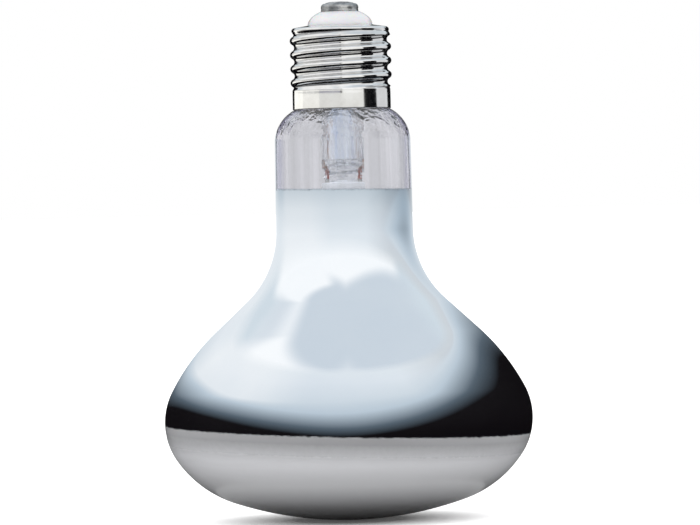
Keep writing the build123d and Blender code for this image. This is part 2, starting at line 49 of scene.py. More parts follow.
# Arc tube: clear fused quartz with a flat pinch at each end, pressed shut while it is soft.
# The solid's shape stays. Its finish is faintly smoky quartz, rippled where the pinch was pressed.
def node_maker(tree):
    """Empties a node tree, and gives the function that adds nodes to it."""
    tree.nodes.clear()

    def add(kind, **inputs):
        """Adds a node. _key sets a setting, iN is input number N, and any other word an input's name.

        A value is a number, a colour or a socket, or a node, which stands for its first output."""
        new = tree.nodes.new("ShaderNode" + kind)
        for key, value in inputs.items():
            if key[0] == "_":
                setattr(new, key[1:], value)
                continue
            numbered = key[0] == "i" and key[1:].isdigit()
            socket = new.inputs[int(key[1:])] if numbered else new.inputs[key.replace("_", " ")]
            if isinstance(value, bpy.types.Node):
                value = value.outputs[0]
            if isinstance(value, bpy.types.NodeSocket):
                tree.links.new(value, socket)
            else:
                socket.default_value = value
        return new

    return add


def material(name):
    """New node material, the maker of its nodes, the maker of its surface, and the object's own place."""
    made = bpy.data.materials.new(name)
    made.use_nodes = True
    add = node_maker(made.node_tree)

    def surface(shader):
        """Makes a shader the material's surface."""
        add("OutputMaterial", Surface=shader)

    return made, add, surface, add("TexCoord").outputs["Object"]


def ramp(add, value, *stops):
    """Colour of a value between stops of (place, (red, green, blue))."""
    made = add("ValToRGB", Fac=value)
    stones = made.color_ramp.elements
    while len(stones) < len(stops):
        stones.new(0.5)
    for stone, (place, colour) in zip(stones, stops):
        stone.position = place
        stone.color = (*colour, 1)
    return made


def remap(add, value, first, last, low=0.0, high=1.0):
    """Value moved from the range first to last onto low to high, and held between those two."""
    return add("MapRange", Value=value, From_Min=first, From_Max=last, To_Min=low, To_Max=high)


def noise(add, place, scale, detail, **more):
    """Cloudy pattern of 0 to 1, with its scale in grains per metre and its detail in finer layers."""
    return add("TexNoise", Vector=place, Scale=scale, Detail=detail, **more)


def relief(add, height, strength, distance, **more):
    """Bump: the surface's direction over a height of 0 to 1 that stands for a distance in metres."""
    return add("Bump", Height=height, Strength=strength, Distance=distance, **more)


def calc(add, operation, *values):
    """Result of a mathematical operation on one to three values."""
    return add("Math", _operation=operation, **{f"i{k}": value for k, value in enumerate(values)})


def blend(add, share, first, second, way="MIX"):
    """Two colours blended by a share of 0 to 1."""
    return add("Mix", _data_type="RGBA", _blend_type=way, i0=share, i6=first, i7=second).outputs[2]


def dress(finish, *names):
    """Gives a finish to CAD nodes, in place of the plain one."""
    for name in names:
        nodes_of[name].data.materials.clear()
        nodes_of[name].data.materials.append(finish)


quartz, add, surface, place = material("quartz_finish")
ripple = noise(add, place, 900.0, 2.0)
press = relief(add, ripple, 0.25, 0.00015)
smoke = noise(add, place, 70.0, 3.0)
tint = ramp(add, smoke, (0.35, (0.86, 0.85, 0.84)), (0.7, (0.96, 0.96, 0.955)))
surface(add("BsdfPrincipled", Base_Color=tint, Roughness=0.03, IOR=1.46, Transmission_Weight=1.0,
            Normal=press))
dress(quartz, "arc_tube")


# Electrodes: a tungsten rod each, with a tight winding of tungsten wire round its tip.
# The rod and the winding are drawn wire, dark grey and slightly rough from the heat.
def grid_mesh(name, *grids, close_u=True, close_v=False, smooth=True):
    """One mesh over grids of points (rows by columns by 3, in millimetres).

    Each quad joins a point, its neighbour in the row and the two above them. Rows close round if
    close_u, and the last row joins the first if close_v. A row at one place becomes one point."""
    vertices, quads, start = [], [], 0
    for points in grids:
        rows, columns = points.shape[:2]
        index = start + np.arange(rows * columns).reshape(rows, columns)
        right = np.roll(index, -1, axis=1) if close_u else index[:, 1:]
        left = index if close_u else index[:, :-1]
        if close_v:
            corners = (left, right, np.roll(right, -1, axis=0), np.roll(left, -1, axis=0))
        else:
            corners = (left[:-1], right[:-1], right[1:], left[1:])
        vertices.append(points.reshape(-1, 3) / 1000)
        quads.append(np.stack(corners, axis=-1).reshape(-1, 4))
        start += rows * columns
    mesh = bpy.data.meshes.new(name)
    mesh.from_pydata(np.concatenate(vertices).tolist(), [], np.concatenate(quads).tolist())
    merged = bmesh.new()
    merged.from_mesh(mesh)
    bmesh.ops.remove_doubles(merged, verts=merged.verts, dist=1e-7)
    bmesh.ops.recalc_face_normals(merged, faces=merged.faces)
    merged.to_mesh(mesh)
    merged.free()
    mesh.polygons.foreach_set("use_smooth", [smooth] * len(mesh.polygons))
    mesh.update()
    piece = bpy.data.objects.new(name, mesh)
    scene.collection.objects.link(piece)
    return piece


def wire_grid(path, radius, sides):
    """Points of a round wire: rings of a radius, square to a path, closed to a point at each end.

    A ring's two axes are the path's direction crossed with a fixed slanting vector, and the cross
    of those two."""
    path = np.asarray(path, float)
    along = np.gradient(path, axis=0)
    along /= np.linalg.norm(along, axis=1, keepdims=True)
    slanting = np.array([0.267, 0.535, 0.802])
    across = np.cross(along, slanting)
    across /= np.linalg.norm(across, axis=1, keepdims=True)
    beside = np.cross(along, across)
    turn = np.linspace(0, 2 * np.pi, sides, endpoint=False)
    ring = np.cos(turn)[None, :, None] * across[:, None] + np.sin(turn)[None, :, None] * beside[:, None]
    rings = path[:, None] + radius * ring
    first = np.repeat(path[None, :1], sides, axis=1)
    last = np.repeat(path[None, -1:], sides, axis=1)
    return np.concatenate([first, rings, last])


def winding(foot, height, radius, pitch, lean, steps=26):
    """Helix: the bearing runs evenly with height from a lean, and one turn climbs one pitch."""
    turns = height / pitch
    share = np.linspace(0, 1, int(turns * steps))
    bearing = 2 * np.pi * turns * share + lean
    round_foot = np.stack([radius * np.cos(bearing), radius * np.sin(bearing), height * share], axis=-1)
    return np.array(foot) + round_foot


def electrode(name, node, tip_up):
    """Electrode rod and its wound head, in the box of its CAD node."""
    low, high = (1000 * np.array(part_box(node)[k]) for k in (0, 1))
    x, y, _ = (low + high) / 2
    shaft = np.linspace((x, y, low[2]), (x, y, high[2]), 12)
    head_length, head_gap = 2.2, 0.25 if tip_up else 0.2
    head_foot = high[2] - head_gap - head_length if tip_up else low[2] + head_gap
    head = winding((x, y, head_foot), head_length, radius=0.6, pitch=0.5, lean=0.4)
    piece = grid_mesh(name, wire_grid(shaft, radius=0.35, sides=16), wire_grid(head, radius=0.24, sides=8))
    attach(piece, "root")
    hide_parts(node)
    piece.data.materials.append(tungsten)


tungsten, add, surface, place = material("tungsten_finish")
drawn = noise(add, place, 2400.0, 3.0)
rough = remap(add, drawn, 0.3, 0.7, 0.32, 0.5)
tint = ramp(add, drawn, (0.35, (0.24, 0.24, 0.25)), (0.7, (0.42, 0.42, 0.43)))
grain = relief(add, drawn, 0.2, 0.00002)
surface(add("BsdfPrincipled", Base_Color=tint, Metallic=1.0, Roughness=rough, Normal=grain))
electrode("upper_electrode_wound", "upper_electrode", False)
electrode("lower_electrode_wound", "lower_electrode", True)
dress(tungsten, "starting_electrode")

# Foils and leads in the pinches: thin molybdenum ribbons, welded to round leads.
# Rolled bright, with heat colours where the quartz was pressed on them.
foil, add, surface, place = material("foil_finish")
heat = noise(add, place, 420.0, 2.0)
tint = ramp(add, heat, (0.3, (0.36, 0.33, 0.34)), (0.55, (0.55, 0.53, 0.50)), (0.75, (0.47, 0.42, 0.30)))
rolled = add("Mapping", Vector=place, Scale=(4000.0, 4000.0, 250.0))
marks = noise(add, rolled, 1.0, 2.0)
rough = remap(add, marks, 0.3, 0.7, 0.22, 0.4)
grain = relief(add, marks, 0.15, 0.00001)
surface(add("BsdfPrincipled", Base_Color=tint, Metallic=1.0, Roughness=rough, Normal=grain))
dress(foil, "sealing_foils", "pinch_leads")

# Straps, link, posts and feeds: nickel ribbon and nickel-plated wire, bent cold and spot welded.
# Bright metal with fine drawing marks along it and a dull, slightly yellow bloom.
nickel, add, surface, place = material("nickel_finish")
drawn = add("Mapping", Vector=place, Scale=(5200.0, 5200.0, 180.0))
marks = noise(add, drawn, 1.0, 3.0)
bloom = noise(add, place, 160.0, 4.0)
tint = ramp(add, bloom, (0.35, (0.50, 0.48, 0.44)), (0.65, (0.66, 0.64, 0.61)))
rough = remap(add, bloom, 0.3, 0.7, 0.2, 0.38)
grain = relief(add, marks, 0.25, 0.00002)
surface(add("BsdfPrincipled", Base_Color=tint, Metallic=1.0, Roughness=rough, Normal=grain))
dress(nickel, "upper_strap", "lower_strap", "upper_link", "right_post", "left_post",
      "post_feed", "centre_feed")

# Starting resistor: a small rod of carbon in a baked, speckled lacquer, with a wire at each end.
# The lacquer is brown and a little glossy.
lacquer, add, surface, place = material("resistor_finish")
speck = noise(add, place, 2600.0, 2.0)
tint = ramp(add, speck, (0.4, (0.16, 0.085, 0.05)), (0.62, (0.27, 0.16, 0.10)))
grain = relief(add, speck, 0.2, 0.00004)
surface(add("BsdfPrincipled", Base_Color=tint, Roughness=0.38, Coat_Weight=0.3, Normal=grain))
dress(lacquer, "starting_resistor")

# Spider: a pressed and fired steatite disc, cream white and matt, with a fine grain and the faint
# darkening that the filament's heat leaves under it.
steatite, add, surface, place = material("spider_finish")
grain = noise(add, place, 3000.0, 4.0)
cloud = noise(add, place, 120.0, 3.0)
tint = ramp(add, cloud, (0.3, (0.66, 0.62, 0.55)), (0.6, (0.82, 0.79, 0.73)))
pits = relief(add, grain, 0.35, 0.00005)
surface(add("BsdfPrincipled", Base_Color=tint, Roughness=0.62, Normal=pits))
dress(steatite, "spider")

# Support wires: molybdenum wire, pressed into the spider and bent round under the filament.
# Grey, and rougher than the nickel.
hook_finish, add, surface, place = material("hook_wire_finish")
scale_marks = noise(add, place, 1500.0, 3.0)
tint = ramp(add, scale_marks, (0.35, (0.30, 0.295, 0.29)), (0.65, (0.47, 0.465, 0.46)))
rough = remap(add, scale_marks, 0.3, 0.7, 0.3, 0.48)
surface(add("BsdfPrincipled", Base_Color=tint, Metallic=1.0, Roughness=rough))
dress(hook_finish, "filament_hooks")


# Ballast filament: fine tungsten wire wound into a long open coil, hung through the support wires.
# The coil's centre line has straight runs and a round corner at each hook.
def rounded_ring(reach, corner, count, first_angle, level, tail, step):
    """Centre line through the corners of a regular polygon, each rounded to a radius, open at one side.

    Every corner is an arc about a centre that lies corner / cos(half) inside it, and it turns
    through one outer angle of the polygon. The line is sampled evenly by length."""
    half = math.pi / count
    bearings = np.radians(first_angle) + 2 * half * np.arange(count)
    turn = np.linspace(-half, half, 9)
    centre = (reach - corner / math.cos(half)) * np.stack([np.cos(bearings), np.sin(bearings)], axis=-1)
    angle = bearings[:, None] + turn[None, :]
    arcs = centre[:, None] + corner * np.stack([np.cos(angle), np.sin(angle)], axis=-1)
    line = arcs.reshape(-1, 2)
    corners = reach * np.stack([np.cos(bearings), np.sin(bearings)], axis=-1)
    gap = (corners[-1] - corners[0]) / np.linalg.norm(corners[-1] - corners[0])
    line = np.concatenate([[corners[0] + gap * tail], line, [corners[-1] - gap * tail]])
    run = np.concatenate([[0], np.cumsum(np.linalg.norm(np.diff(line, axis=0), axis=1))])
    even = np.linspace(0, run[-1], int(run[-1] / step))
    flat = np.stack([np.interp(even, run, line[:, k]) for k in (0, 1)], axis=-1)
    return np.concatenate([flat, np.full((len(flat), 1), level)], axis=1), even


def coiled(line, length, radius, pitch):
    """Coil round a level line: the line, plus a radius turned once in each pitch of its length."""
    ahead = np.gradient(line, axis=0)
    ahead /= np.linalg.norm(ahead, axis=1, keepdims=True)
    side = np.stack([-ahead[:, 1], ahead[:, 0], np.zeros(len(line))], axis=-1)
    turn = 2 * np.pi * length / pitch
    up = np.array([0.0, 0.0, 1.0])
    return line + radius * (np.cos(turn)[:, None] * side + np.sin(turn)[:, None] * up)


coil_level = sum(1000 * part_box("ballast_filament")[k][2] for k in (0, 1)) / 2
hooks, inside_bend, bend_radius = 6, 13.4, 1.5
corner_reach = inside_bend + bend_radius * (1 / math.cos(math.pi / hooks) - 1)
centre_line, run = rounded_ring(corner_reach, bend_radius, hooks, first_angle=8.0, level=coil_level,
                                tail=3.0, step=0.045)
coil = coiled(centre_line, run, radius=0.36, pitch=0.42)
filament = grid_mesh("ballast_filament_coil", wire_grid(coil, radius=0.085, sides=6))
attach(filament, "root")
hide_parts("ballast_filament")
filament.data.materials.append(tungsten)

# Leads and seal wires: copper leads butt welded to short copper-clad wires that seal in the glass.
# Copper with a brown oxide film from the sealing flames, redder in the glass.
copper, add, surface, place = material("copper_finish")
oxide = noise(add, place, 500.0, 4.0)
tint = ramp(add, oxide, (0.35, (0.20, 0.10, 0.065)), (0.6, (0.48, 0.27, 0.18)))
rough = remap(add, oxide, 0.3, 0.7, 0.45, 0.28)
surface(add("BsdfPrincipled", Base_Color=tint, Metallic=1.0, Roughness=rough))
dress(copper, "centre_lead", "side_lead")

borated, add, surface, place = material("seal_wire_finish")
oxide = noise(add, place, 700.0, 3.0)
tint = ramp(add, oxide, (0.35, (0.42, 0.07, 0.05)), (0.65, (0.62, 0.16, 0.10)))
surface(add("BsdfPrincipled", Base_Color=tint, Metallic=0.6, Roughness=0.35))
dress(borated, "seal_wires")


# Stem: a flared glass tube, softened and pinched flat round the wires at its foot, which ends in a
# milky bar. The flare's edge is melted to the neck, so the surface there is uneven.
def squared_ring(half_width, half_depth, power, bearing):
    """Rounded outline: each axis is its half size times |cos| or |sin| to the power 2 / power."""
    c, s = np.cos(bearing), np.sin(bearing)
    x = half_width * np.sign(c) * np.abs(c) ** (2 / power)
    y = half_depth * np.sign(s) * np.abs(s) ** (2 / power)
    return x, y


def stem_rows(table, crumple):
    """Points of the stem's side from rows of (height, half width, half depth, power).

    Every row is a rounded outline. In the pinched foot each point also moves in or out by a sum of
    three sine waves of its height and bearing, which is the crumpled look of pressed glass."""
    table = np.asarray(table, float)
    bearing = np.linspace(0, 2 * np.pi, 128, endpoint=False)[None, :]
    height, width, depth, power = (table[:, k][:, None] for k in range(4))
    x, y = squared_ring(width, depth, power, bearing)
    z = np.broadcast_to(height, x.shape)
    wave = (np.sin(3 * bearing + 1.9 * z) + 0.7 * np.sin(5 * bearing - 3.3 * z + 1)
            + 0.5 * np.sin(8 * bearing + 5.1 * z + 2))
    swell = 1 + crumple(z) * wave / np.maximum(np.hypot(x, y), 0.5)
    return np.stack([x * swell, y * swell, z], axis=-1)


stem_foot, stem_end = (1000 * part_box("stem")[k][2] for k in (0, 1))
bar_top, press_top, floor_level = stem_foot + 1.75, stem_foot + 3.8, stem_foot + 6.8
tube_radius, wall, neck_bore = 5.5, 1.0, 9.9
press_width, press_depth, press_power, round_power = 4.9, 1.5, 3.6, 2.0
flare_reach = neck_bore - tube_radius
flare_level = stem_end - flare_reach - wall
bend = np.radians(np.linspace(0, 90, 14))


def flare_rows(reach, angles):
    """Rows of one side of the flare: a quarter circle from the tube out to the neck's bore."""
    return [(flare_level + reach * math.sin(a), neck_bore - reach * math.cos(a),
             neck_bore - reach * math.cos(a), round_power) for a in angles]


outside = [
    (stem_foot, 0.0, 0.0, 4.0), (stem_foot, 5.35, 1.55, 5.0), (stem_foot + 0.12, 5.6, 1.76, 5.0),
    (stem_foot + 0.3, 5.65, 1.8, 5.0), (bar_top - 0.25, 5.65, 1.8, 5.0), (bar_top - 0.08, 5.6, 1.76, 5.0),
    (bar_top, 5.4, 1.6, 5.0), (bar_top + 0.02, 4.95, 1.5, 4.0),
]
outside += [(z, press_width, press_depth, press_power) for z in np.linspace(bar_top + 0.1, press_top, 10)]
outside += [
    (press_top + (floor_level - press_top) * k, press_width + (tube_radius - press_width) * k,
     press_depth + (tube_radius - press_depth) * k ** 1.5, press_power + (round_power - press_power) * k)
    for k in np.linspace(0.08, 1, 14)
]
outside += [(z, tube_radius, tube_radius, round_power)
            for z in np.linspace(floor_level + 0.4, flare_level, 26)]
outside += flare_rows(flare_reach, bend[1:])
bore = tube_radius - wall
inside = [(stem_end, neck_bore, neck_bore, round_power)]
inside += flare_rows(flare_reach + wall, bend[::-1][1:])
inside += [(z, bore, bore, round_power) for z in np.linspace(flare_level, floor_level + 1.2, 22)]
for k in np.linspace(1, 0, 7):
    dome_reach = bore * math.sqrt(1 - (1 - k) ** 2)
    inside.append((floor_level + 0.5 + 0.5 * k, dome_reach, dome_reach, round_power))


def foot_crumple(z):
    """How far the pinched foot's waves reach, in millimetres, faded out above and below it."""
    return 0.16 * np.clip((z - bar_top) / 0.5, 0, 1) * np.clip((floor_level + 1.5 - z) / 2.5, 0, 1)


stem = grid_mesh("stem_pressed", np.concatenate([
    stem_rows(outside, foot_crumple), stem_rows(inside, lambda z: 0.0 * z),
]))
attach(stem, "root")
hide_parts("stem")

# Its finish: soft lead glass with drawn streaks up the tube, a swirl in the pinch and a milky bar.
# The bar and the haze glow faintly, in place of the light that milky glass scatters.
stem_finish, add, surface, place = material("stem_glass_finish")
axes = add("SeparateXYZ", Vector=place)
up_the_tube = add("Mapping", Vector=place, Scale=(1100.0, 1100.0, 60.0))
streaks = noise(add, up_the_tube, 1.0, 3.0)
swirl = noise(add, place, 700.0, 4.0, Distortion=2.2)
in_pinch = remap(add, axes.outputs["Z"], 0.0925, 0.0905)
pattern = add("Mix", i0=in_pinch, i2=streaks, i3=swirl)
press = relief(add, pattern, 0.7, 0.0003)
cloud = ramp(add, pattern, (0.36, (0.80, 0.86, 1.0)), (0.44, (0.97, 0.985, 1.0)), (0.62, (1.0, 1.0, 1.0)))
glass = add("BsdfPrincipled", Base_Color=cloud, Roughness=0.05, IOR=1.54, Transmission_Weight=1.0,
            Normal=press)
milk_cloud = ramp(add, swirl, (0.3, (0.90, 0.93, 0.97)), (0.7, (0.97, 0.98, 0.99)))
milk = add("BsdfPrincipled", Base_Color=milk_cloud, Roughness=0.22, Coat_Weight=0.6,
           Emission_Color=(0.88, 0.93, 1.0, 1), Emission_Strength=0.42)
in_bar = remap(add, axes.outputs["Z"], 0.08710, 0.08695, high=0.95)
haze = remap(add, pattern, 0.44, 0.68, high=0.34)
share = calc(add, "MAXIMUM", in_bar, haze)
surface(add("MixShader", i0=share, i1=glass, i2=milk))
stem.data.materials.append(stem_finish)


# Exhaust tube: thin glass tube on the stem's floor, drawn down and melted shut inside the cap.
# Turned from one closed outline. Its wall swells and thins a little, as drawn tubing does.
def turned_points(profile, turn):
    """Points of a turned side: each profile point (radius, height) goes round the axis by every turn."""
    radius, height = np.hsplit(np.asarray(profile, float), 2)
    height = np.broadcast_to(height, (len(height), turn.size))
    return np.stack([radius * np.cos(turn), radius * np.sin(turn), height], axis=-1)


def turned_mesh(name, profile, segments, close=True):
    """Turned piece, from a profile in (radius, height)."""
    turn = np.linspace(0, 2 * np.pi, segments, endpoint=False)
    return grid_mesh(name, turned_points(profile, turn), close_v=close)


tube_foot, tube_end = (1000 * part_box("exhaust_tube")[k][2] for k in (0, 1))
exhaust_radius, exhaust_bore, tip_height = 2.86, 2.0, 2.9
tip_level = tube_end - tip_height
tube_side = np.linspace(tube_foot, tip_level, 40)
swell = 0.036 * np.sin(0.9 * (tube_side - tube_foot)) * np.clip((tube_side - tube_foot) / 3, 0, 1)
tip = np.radians(np.linspace(0, 90, 12))
tube_outline = np.concatenate([
    np.stack([exhaust_radius + swell, tube_side], axis=-1),
    np.stack([exhaust_radius * np.cos(tip), tip_level + tip_height * np.sin(tip)], axis=-1)[1:],
    np.stack([exhaust_bore * np.cos(tip), tip_level + exhaust_bore * np.sin(tip)], axis=-1)[::-1],
    np.stack([exhaust_bore - swell, tube_side], axis=-1)[::-1][1:],
])
tube = turned_mesh("exhaust_tube_drawn", tube_outline, 64)
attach(tube, "root")
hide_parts("exhaust_tube")
tube_finish, add, surface, place = material("exhaust_tube_finish")
up_the_tube = add("Mapping", Vector=place, Scale=(1600.0, 1600.0, 40.0))
streaks = noise(add, up_the_tube, 1.0, 3.0)
drawn = relief(add, streaks, 0.4, 0.0002)
tint = ramp(add, streaks, (0.35, (0.88, 0.92, 1.0)), (0.6, (1.0, 1.0, 1.0)))
clear = add("BsdfPrincipled", Base_Color=tint, Roughness=0.04, IOR=1.45, Transmission_Weight=1.0,
            Normal=drawn)
# Hazy streaks glow faintly: painted light, in place of the light that milky glass scatters.
haze = add("BsdfPrincipled", Base_Color=(0.90, 0.94, 0.98, 1), Roughness=0.3,
           Emission_Color=(0.84, 0.91, 1.0, 1), Emission_Strength=0.55)
glowing_haze_share = remap(add, streaks, 0.44, 0.66, high=0.4)
surface(add("MixShader", i0=glowing_haze_share, i1=clear, i2=haze))
tube.data.materials.append(tube_finish)

# Mirror film: aluminium fired on in vacuum, on the inside of the glass. The solid's shape stays.
# It is seen from below through the face, as a dull inner mirror with fine streaks.
film_finish, add, surface, place = material("mirror_film_finish")
grain = noise(add, place, 240.0, 4.0)
rough = remap(add, grain, 0.3, 0.7, 0.14, 0.22)
tint = ramp(add, grain, (0.3, (0.80, 0.83, 0.87)), (0.7, (0.86, 0.88, 0.91)))
surface(add("BsdfPrincipled", Base_Color=tint, Metallic=1.0, Roughness=rough))
dress(film_finish, "mirror_film")


# Bulb glass: one blown wall, turned from the same chain of tangent arcs as the CAD envelope.
# The neck is clear, the body has the mirror behind it, and the face is frosted inside.
def on_circle(centre, radius, angle):
    """Point of a circle in the (radius, height) plane, at an angle in degrees above the horizontal."""
    a = np.radians(angle)
    return np.stack([centre[0] + radius * np.cos(a), centre[1] + radius * np.sin(a)], axis=-1)


def tangent_profile(inset, step):
    """Profile of the bulb from the face's pole to the throat, in millimetres, moved in by an inset.

    Each arc is sampled as centre + radius * (cos, sin) of an angle that runs evenly between the
    arc's two end normals, and each next arc begins where the last one ends, on the same normal."""
    bulb, face, knuckle, rim, body, flare, neck, shoulder = 47.5, 92.5, 29.0, 17.2, 56.0, 25.0, 17.7, 9.5
    throat, fillet, neck_length, throat_length = 10.8, 1.5, 22.8, 4.6
    low, high, cone, taper = 34.3, 27.6, 47.0, 0.5
    knuckle_x = bulb - rim - (knuckle - rim) * math.cos(math.radians(low))
    pole = math.degrees(math.acos(knuckle_x / (face - knuckle)))
    c1 = np.array([0.0, face])
    c2 = on_circle(c1, face - knuckle, -pole)
    c3 = on_circle(c2, knuckle - rim, -low)
    c4 = on_circle(c3, rim - body, high)
    cone_start = on_circle(c4, body, cone)
    flare_x = neck + flare * math.cos(math.radians(taper))
    cone_end_x = flare_x - flare * math.cos(math.radians(cone))
    cone_end_z = cone_start[1] + (cone_start[0] - cone_end_x) / math.tan(math.radians(cone))
    c5 = np.array([flare_x, cone_end_z + flare * math.sin(math.radians(cone))])
    neck_end = on_circle(on_circle(c5, flare, 180 + taper), neck_length, 90 + taper)
    c6 = on_circle(neck_end, -shoulder, taper)
    turn = math.degrees(math.acos((throat + fillet - c6[0]) / (shoulder + fillet)))
    c7 = on_circle(c6, shoulder + fillet, turn)
    runs = []
    for centre, radius, first, last in (
        (c1, face - inset, -90, -pole), (c2, knuckle - inset, -pole, -low), (c3, rim - inset, -low, high),
        (c4, body - inset, high, cone), (c5, flare + inset, 180 + cone, 180 + taper),
        (c6, shoulder - inset, taper, turn), (c7, fillet + inset, 180 + turn, 180),
    ):
        count = max(6, int(abs(last - first) * math.pi / 180 * radius / step))
        runs.append(on_circle(centre, radius, np.linspace(first, last, count)))
    neck_low, neck_high = runs[4][-1], runs[5][0]
    count = int((neck_high[1] - neck_low[1]) / step)
    runs.insert(5, neck_low + (neck_high - neck_low) * np.linspace(0, 1, count)[1:-1, None])
    runs.append(np.array([[throat - inset, c7[1] + throat_length]]))
    profile = np.concatenate(runs)
    keep = np.ones(len(profile), bool)
    keep[1:] = np.linalg.norm(np.diff(profile, axis=0), axis=1) > 1e-4
    return np.maximum(profile[keep], [0, -np.inf])


outer, inner = tangent_profile(inset=0.0, step=0.55), tangent_profile(inset=0.9, step=0.6)
bulb = turned_mesh("bulb_glass_blown", np.concatenate([outer, inner[::-1]]), 224, close=False)
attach(bulb, "root")
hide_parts("glass_envelope")

# Its finish: masks by height split it into clear neck, mirror and face. Both film edges slope down
# to the right, and wander a little. Below the film a clear ring comes before the frost.
bulb_finish, add, surface, place = material("bulb_glass_finish")
axes = add("SeparateXYZ", Vector=place)
edge_noise = noise(add, place, 900.0, 2.0)
wander = remap(add, edge_noise, 0.3, 0.7, -0.00012, 0.00012)


def sloped_height(skew):
    """Height above a plane that falls towards +X by an angle, plus the edge's wander."""
    level = calc(add, "MULTIPLY_ADD", axes.outputs["X"], math.tan(math.radians(skew)), axes.outputs["Z"])
    return calc(add, "ADD", level, wander)


low_slope, high_slope = 2.3, 1.1
low_mask = remap(add, sloped_height(low_slope), 0.0232, 0.0236)
high_mask = remap(add, sloped_height(high_slope), 0.0849, 0.0855, 1.0, 0.0)
film_mask = calc(add, "MULTIPLY", low_mask, high_mask)
# The mirror: bright over slow waves of the glass. Its colour darkens towards the neck, and sooner
# on the neck's right side, which is painted shade.
waves = noise(add, place, 20.0, 1.5, Roughness=0.35)
bump = relief(add, waves, 0.10, 0.001)
film_noise = noise(add, place, 60.0, 5.0)
film_rough = remap(add, film_noise, 0.3, 0.75, 0.055, 0.10)
film_body = ramp(add, film_noise, (0.3, (0.84, 0.88, 0.92)), (0.8, (0.89, 0.92, 0.945)))
film_side = calc(add, "SUBTRACT", axes.outputs["X"], 0.009)
film_right = calc(add, "MAXIMUM", film_side, 0.0)
film_level = calc(add, "MULTIPLY_ADD", film_right, 0.6, axes.outputs["Z"])
film_height = remap(add, film_level, 0.074, 0.090)
film_painted_shade = ramp(add, film_height, (0.0, (1.0, 1.0, 1.0)), (0.40, (0.84, 0.86, 0.875)),
                  (0.72, (0.60, 0.65, 0.69)), (1.0, (0.36, 0.41, 0.46)))
film_tint = blend(add, 1.0, film_body, film_painted_shade, "MULTIPLY")
mirror = add("BsdfPrincipled", Base_Color=film_tint, Metallic=1.0, Roughness=film_rough,
             Normal=bump, Coat_Weight=0.7, Coat_Roughness=0.02, Coat_IOR=1.5)

# The face: frost powder on its inside, thinning out at the clear ring. Darker towards the pole: painted
# shade.
frost_noise = noise(add, place, 2600.0, 3.0)
frost_cover = remap(add, sloped_height(low_slope), 0.0165, 0.0215, 1.0, 0.0)
frost_bump = relief(add, frost_noise, 0.25, 0.00004, Normal=bump)
frost_rough = remap(add, frost_cover, 0.0, 1.0, 0.03, 0.42)
# Painted shade: the powder's colour darkens from 18 mm down to the pole, for the shaded floor under it.
depth = ramp(add, remap(add, axes.outputs["Z"], 0.0, 0.018),
             (0.06, (0.12, 0.12, 0.125)), (0.24, (0.25, 0.25, 0.26)), (0.42, (0.46, 0.465, 0.48)),
             (0.60, (0.64, 0.645, 0.66)), (0.88, (0.80, 0.805, 0.83)))
clear_face = add("BsdfPrincipled", Base_Color=(0.93, 0.93, 0.92, 1), Roughness=frost_rough,
                 IOR=1.5, Transmission_Weight=1.0, Normal=frost_bump)
dusted = add("BsdfPrincipled", Base_Color=depth, Roughness=0.3, Coat_Weight=0.4,
             Coat_Roughness=0.08, Normal=frost_bump)
lit_through = add("BsdfTranslucent", Color=depth)
powder = add("MixShader", i0=0.15, i1=dusted, i2=lit_through)
powder_share = remap(add, frost_cover, 0.0, 1.0, 0.40, 0.98)
face = add("MixShader", i0=powder_share, i1=clear_face, i2=powder)

# The neck: clear glass with striae along it and a lumpy shoulder. Its grey tint and indigo edges
# are painted shade on what is seen through it. What lights the parts inside passes it untinted,
# so they keep their own colours.
drawn = add("Mapping", Vector=place, Scale=(260.0, 260.0, 7.0))
striae = noise(add, drawn, 1.0, 3.0, Roughness=0.55)
drawn_bump = relief(add, striae, 0.35, 0.0004)
seal_noise = noise(add, place, 330.0, 2.0)
at_shoulder = remap(add, axes.outputs["Z"], 0.0975, 0.1015, high=0.30)
neck_bump = relief(add, seal_noise, at_shoulder, 0.0016, Normal=drawn_bump)
edge_on = add("LayerWeight", Blend=0.35)
neck_body = ramp(add, striae, (0.36, (0.69, 0.692, 0.715)), (0.55, (0.77, 0.772, 0.80)),
                 (0.68, (0.93, 0.925, 0.96)))
painted_edge_shade = ramp(add, edge_on.outputs["Facing"], (0.33, (1.0, 1.0, 1.0)), (0.47, (0.84, 0.835, 0.86)),
                 (0.58, (0.62, 0.60, 0.74)), (0.66, (0.34, 0.32, 0.56)), (0.78, (0.75, 0.75, 0.80)))
shade_with_edges = blend(add, 1.0, neck_body, painted_edge_shade, "MULTIPLY")
bounced = add("LightPath").outputs["Diffuse Depth"]
lights_inside = calc(add, "GREATER_THAN", bounced, 0.5)
neck_painted_shade = blend(add, lights_inside, shade_with_edges, (1.0, 1.0, 1.0, 1))
neck = add("BsdfPrincipled", Base_Color=neck_painted_shade, Roughness=0.02, IOR=1.5,
           Transmission_Weight=1.0, Normal=neck_bump)
above_film = remap(add, axes.outputs["Z"], 0.055, 0.056)
clear = add("MixShader", i0=above_film, i1=face, i2=neck)
surface(add("MixShader", i0=film_mask, i1=clear, i2=mirror))
bulb.data.materials.append(bulb_finish)

# Capping cement: a resin and marble-flour paste, baked between the skirt and the glass.
# The solid's shape stays: a beige, matt and grainy ring at the skirt's edge.
cement, add, surface, place = material("cement_finish")
grit = noise(add, place, 2800.0, 5.0)
tint = ramp(add, grit, (0.35, (0.42, 0.38, 0.31)), (0.65, (0.62, 0.58, 0.50)))
grain = relief(add, grit, 0.6, 0.0001)
surface(add("BsdfPrincipled", Base_Color=tint, Roughness=0.85, Normal=grain))
dress(cement, "capping_cement")


# Cap shell: sheet rolled into a round thread, with a plain skirt under it and a rounded top corner.
# It is a grid over height and bearing, and the inside of the sheet repeats the same waves.
cap_foot, cap_end = (1000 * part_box("cap_shell")[k][2] for k in (0, 1))
skirt_radius, sheet, skirt_top = 12.65, 0.3, cap_foot + 5.1
thread_top = skirt_top + 15.2
turn = np.linspace(0, 2 * np.pi, 288, endpoint=False)[None, :]


